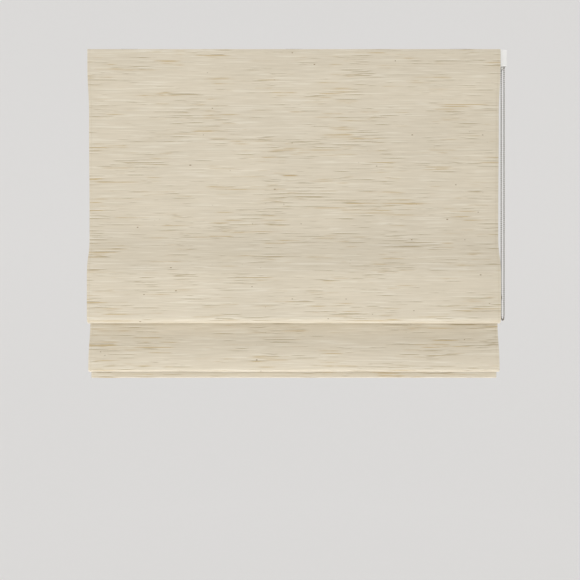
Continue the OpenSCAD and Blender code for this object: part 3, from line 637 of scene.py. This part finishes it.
cloth_rows = cloth_line(CLOTH_RUN)
side_x = CLOTH_W / 2 - SEAM_IN
side_routes = [[place(p, side * side_x, SEAM_SET) for p in cloth_rows if p[3] < HEM_FROM + SIDE_SEAM_PAST]
               for side in (-1, 1)]
side_seams = grow("side_seams", stitches, *routes_mesh(side_routes), cloth_stitch)

hem_back = next(p for p in cloth_rows if p[3] > CLOTH_TO - HEM_SEAM_UP)
hem_front = min(cloth_rows, key=lambda p: abs(p[3] - (HEM_FROM + HEM_SEAM_FRONT)))
xs = np.linspace(-CLOTH_W / 2 + SEAM_IN, CLOTH_W / 2 - SEAM_IN, SEAM_POINTS)
hem_routes = [[place(p, x, SEAM_SET) for x in xs] for p in (hem_back, hem_front)]
hem_seams = grow("hem_seams", stitches, *routes_mesh(hem_routes), cloth_stitch)

pocket_routes = []
fine_rows = cloth_line(LINING_RUN, FINE_STEP, FINE_BEND)
xs = np.linspace(-LINING_W / 2 + POCKET_SEAM_IN, LINING_W / 2 - POCKET_SEAM_IN, SEAM_POINTS)
for rod_at, seam_off in zip(ROD_AT, POCKET_SEAM_OFF):
    for off in (-seam_off, seam_off):
        near = min(fine_rows, key=lambda p: abs(p[3] - rod_at - off))
        pocket_routes.append([place(near, x, LINING_MID + LINING_T / 2 + POCKET_SEAM_SET) for x in xs])
pocket_seams = grow("pocket_seams", stitches, *routes_mesh(pocket_routes), pocket_stitch)

tie_places = [((x + dx) * MM, (y + RING_WIRE - TIE_IN) * MM, z * MM)
              for x in CORD_X for y, z in ROD_LINES for dx in TIE_TURNS]
ring_ties = grow("ring_ties", tie_tree(), tie_places, [],
                 {"Radius": 1.6 * MM, "Thickness": 0.55 * MM, "Thread": lining_seam})
for piece in (side_seams, hem_seams):
    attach(piece, "blind")
for piece in (pocket_seams, ring_ties):
    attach(piece, "blind")

# The chain runs down its front strand, round its lower end, up the back strand and over the wheel
half_turn = [i * math.pi / HALF_WHEEL for i in range(1, HALF_WHEEL)]
beads = [(-WHEEL_R, WHEEL_Z - i * BEAD_PITCH) for i in range(STRAND_BEADS + 1)]
beads += [(-WHEEL_R * math.cos(a), LOOP_Z - WHEEL_R * math.sin(a)) for a in half_turn]
beads += [(WHEEL_R, LOOP_Z + i * BEAD_PITCH) for i in range(STRAND_BEADS + 1)]
beads += [(WHEEL_R * math.cos(a), WHEEL_Z + WHEEL_R * math.sin(a)) for a in half_turn]
bead_points = [(CHAIN_X * MM, y * MM, z * MM) for y, z in beads]
bead_edges = [(i, (i + 1) % len(beads)) for i in range(len(beads))]
chain = grow("nickel_bead_chain", chain_tree(), bead_points, bead_edges,
             {"Bead": BEAD_D * MM, "Link": LINK_D * MM, "Metal": looks["nickel_beads"]})
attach(chain, "blind")
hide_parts("bead_chain")


# Stage, light and camera, in metres

CORNER_STEPS, ROUND_STEPS = 12, 72   # rows in the cove's corner, and columns all round it
CORNER_FROM = 0.1         # angle of the corner's first row
MERGE = 1e-4              # points nearer than this become one
MIDDLE = (0.0, 0.0, -0.5)
LAMPS = [                 # name, place, aim, size and watts
    ("front_light", (-1.6, -3.9, -0.3), MIDDLE, (3.0, 1.4), 43),
    ("low_light", (0.0, -0.38, -2.05), (0.0, -0.05, -0.8), (2.8, 0.5), 16.5),
    ("back_light", (2.5, 3.6, 0.9), MIDDLE, (2.2, 1.6), 50),
    ("top_light", (0.0, -0.6, 3.0), MIDDLE, (3.0, 3.0), 46),
    ("side_light", (-4.3, 0.5, 0.4), MIDDLE, (1.6, 1.6), 26),
    ("side_light", (4.3, 0.5, 0.4), MIDDLE, (1.6, 1.6), 26),
]
CAMERA_AT = (-0.0115, -2.3, -0.703)
FOCAL_PX, IMAGE_PX = 783.0, 580   # the photo's focal length and width, in its pixels
SENSOR_MM = 36.0


def cove(radius, corner, floor, top):
    """A round pale floor that sweeps up into a wall"""
    profile = [(0.0, floor), (radius - corner, floor)]
    profile += [(radius - corner + corner * math.sin(a), floor + corner - corner * math.cos(a))
                for a in np.linspace(CORNER_FROM, math.pi / 2, CORNER_STEPS)]
    profile.append((radius, top))
    mesh = bmesh.new()
    verts = [mesh.verts.new((r, 0, z)) for r, z in profile]
    for a, b in zip(verts, verts[1:]):
        mesh.edges.new((a, b))
    bmesh.ops.spin(mesh, geom=mesh.verts[:] + mesh.edges[:], axis=(0, 0, 1), cent=(0, 0, 0),
                   steps=ROUND_STEPS, angle=2 * math.pi)
    bmesh.ops.remove_doubles(mesh, verts=mesh.verts[:], dist=MERGE)
    bmesh.ops.recalc_face_normals(mesh, faces=mesh.faces[:])
    bmesh.ops.reverse_faces(mesh, faces=mesh.faces[:])
    data = bpy.data.meshes.new("studio_cove")
    mesh.to_mesh(data)
    mesh.free()
    data.polygons.foreach_set("use_smooth", [True] * len(data.polygons))
    obj = bpy.data.objects.new("studio_cove", data)
    bpy.context.collection.objects.link(obj)
    return obj


# Matt paper that glows a little, so that the light is even from all sides
paper = speckled("studio_paper", "#a3a2a1", "#a6a5a4", grain_mm=300, depth_mm=0.01, roughness=0.95,
                 specular=0.1)
paper_shader = next(n for n in paper.node_tree.nodes if n.type == "BSDF_PRINCIPLED")
paper_shader.inputs["Emission Color"].default_value = srgb("#f4f3f2")
paper_shader.inputs["Emission Strength"].default_value = 0.525
backdrop = cove(radius=4.6, corner=1.8, floor=-2.1, top=5.4)
backdrop.data.materials.append(paper)
# The lamps stand close to the paper, so they pass it over: no lamp draws the edge of its light there
passed_over = bpy.data.collections.new("passed_over")
passed_over.objects.link(backdrop)
passed_over.collection_objects[0].light_linking.link_state = "EXCLUDE"


def soft_light(name, at, aim, size, watts):
    """A lamp with a broad face, which the camera doesn't see and the paper doesn't get"""
    lamp = bpy.data.lights.new(name, "AREA")
    lamp.shape = "RECTANGLE"
    lamp.size, lamp.size_y = size
    lamp.energy = watts
    obj = bpy.data.objects.new(name, lamp)
    obj.location = at
    obj.rotation_euler = (Vector(aim) - Vector(at)).to_track_quat("-Z", "Y").to_euler()
    obj.visible_camera = False
    obj.light_linking.receiver_collection = passed_over
    bpy.context.collection.objects.link(obj)


for lamp_row in LAMPS:
    soft_light(*lamp_row)

world = bpy.data.worlds.new("pale_room")
world.use_nodes = True
world.node_tree.nodes["Background"].inputs["Color"].default_value = srgb("#eceae8")
world.node_tree.nodes["Background"].inputs["Strength"].default_value = 0.4
scene = bpy.context.scene
scene.world = world
scene.view_settings.view_transform = "Standard"

camera_data = bpy.data.cameras.new("camera")
camera_data.sensor_width = SENSOR_MM
camera_data.lens = SENSOR_MM * FOCAL_PX / IMAGE_PX
camera = bpy.data.objects.new("camera", camera_data)
camera.location = CAMERA_AT
camera.rotation_euler = (math.pi / 2, 0, 0)
bpy.context.collection.objects.link(camera)
scene.camera = camera
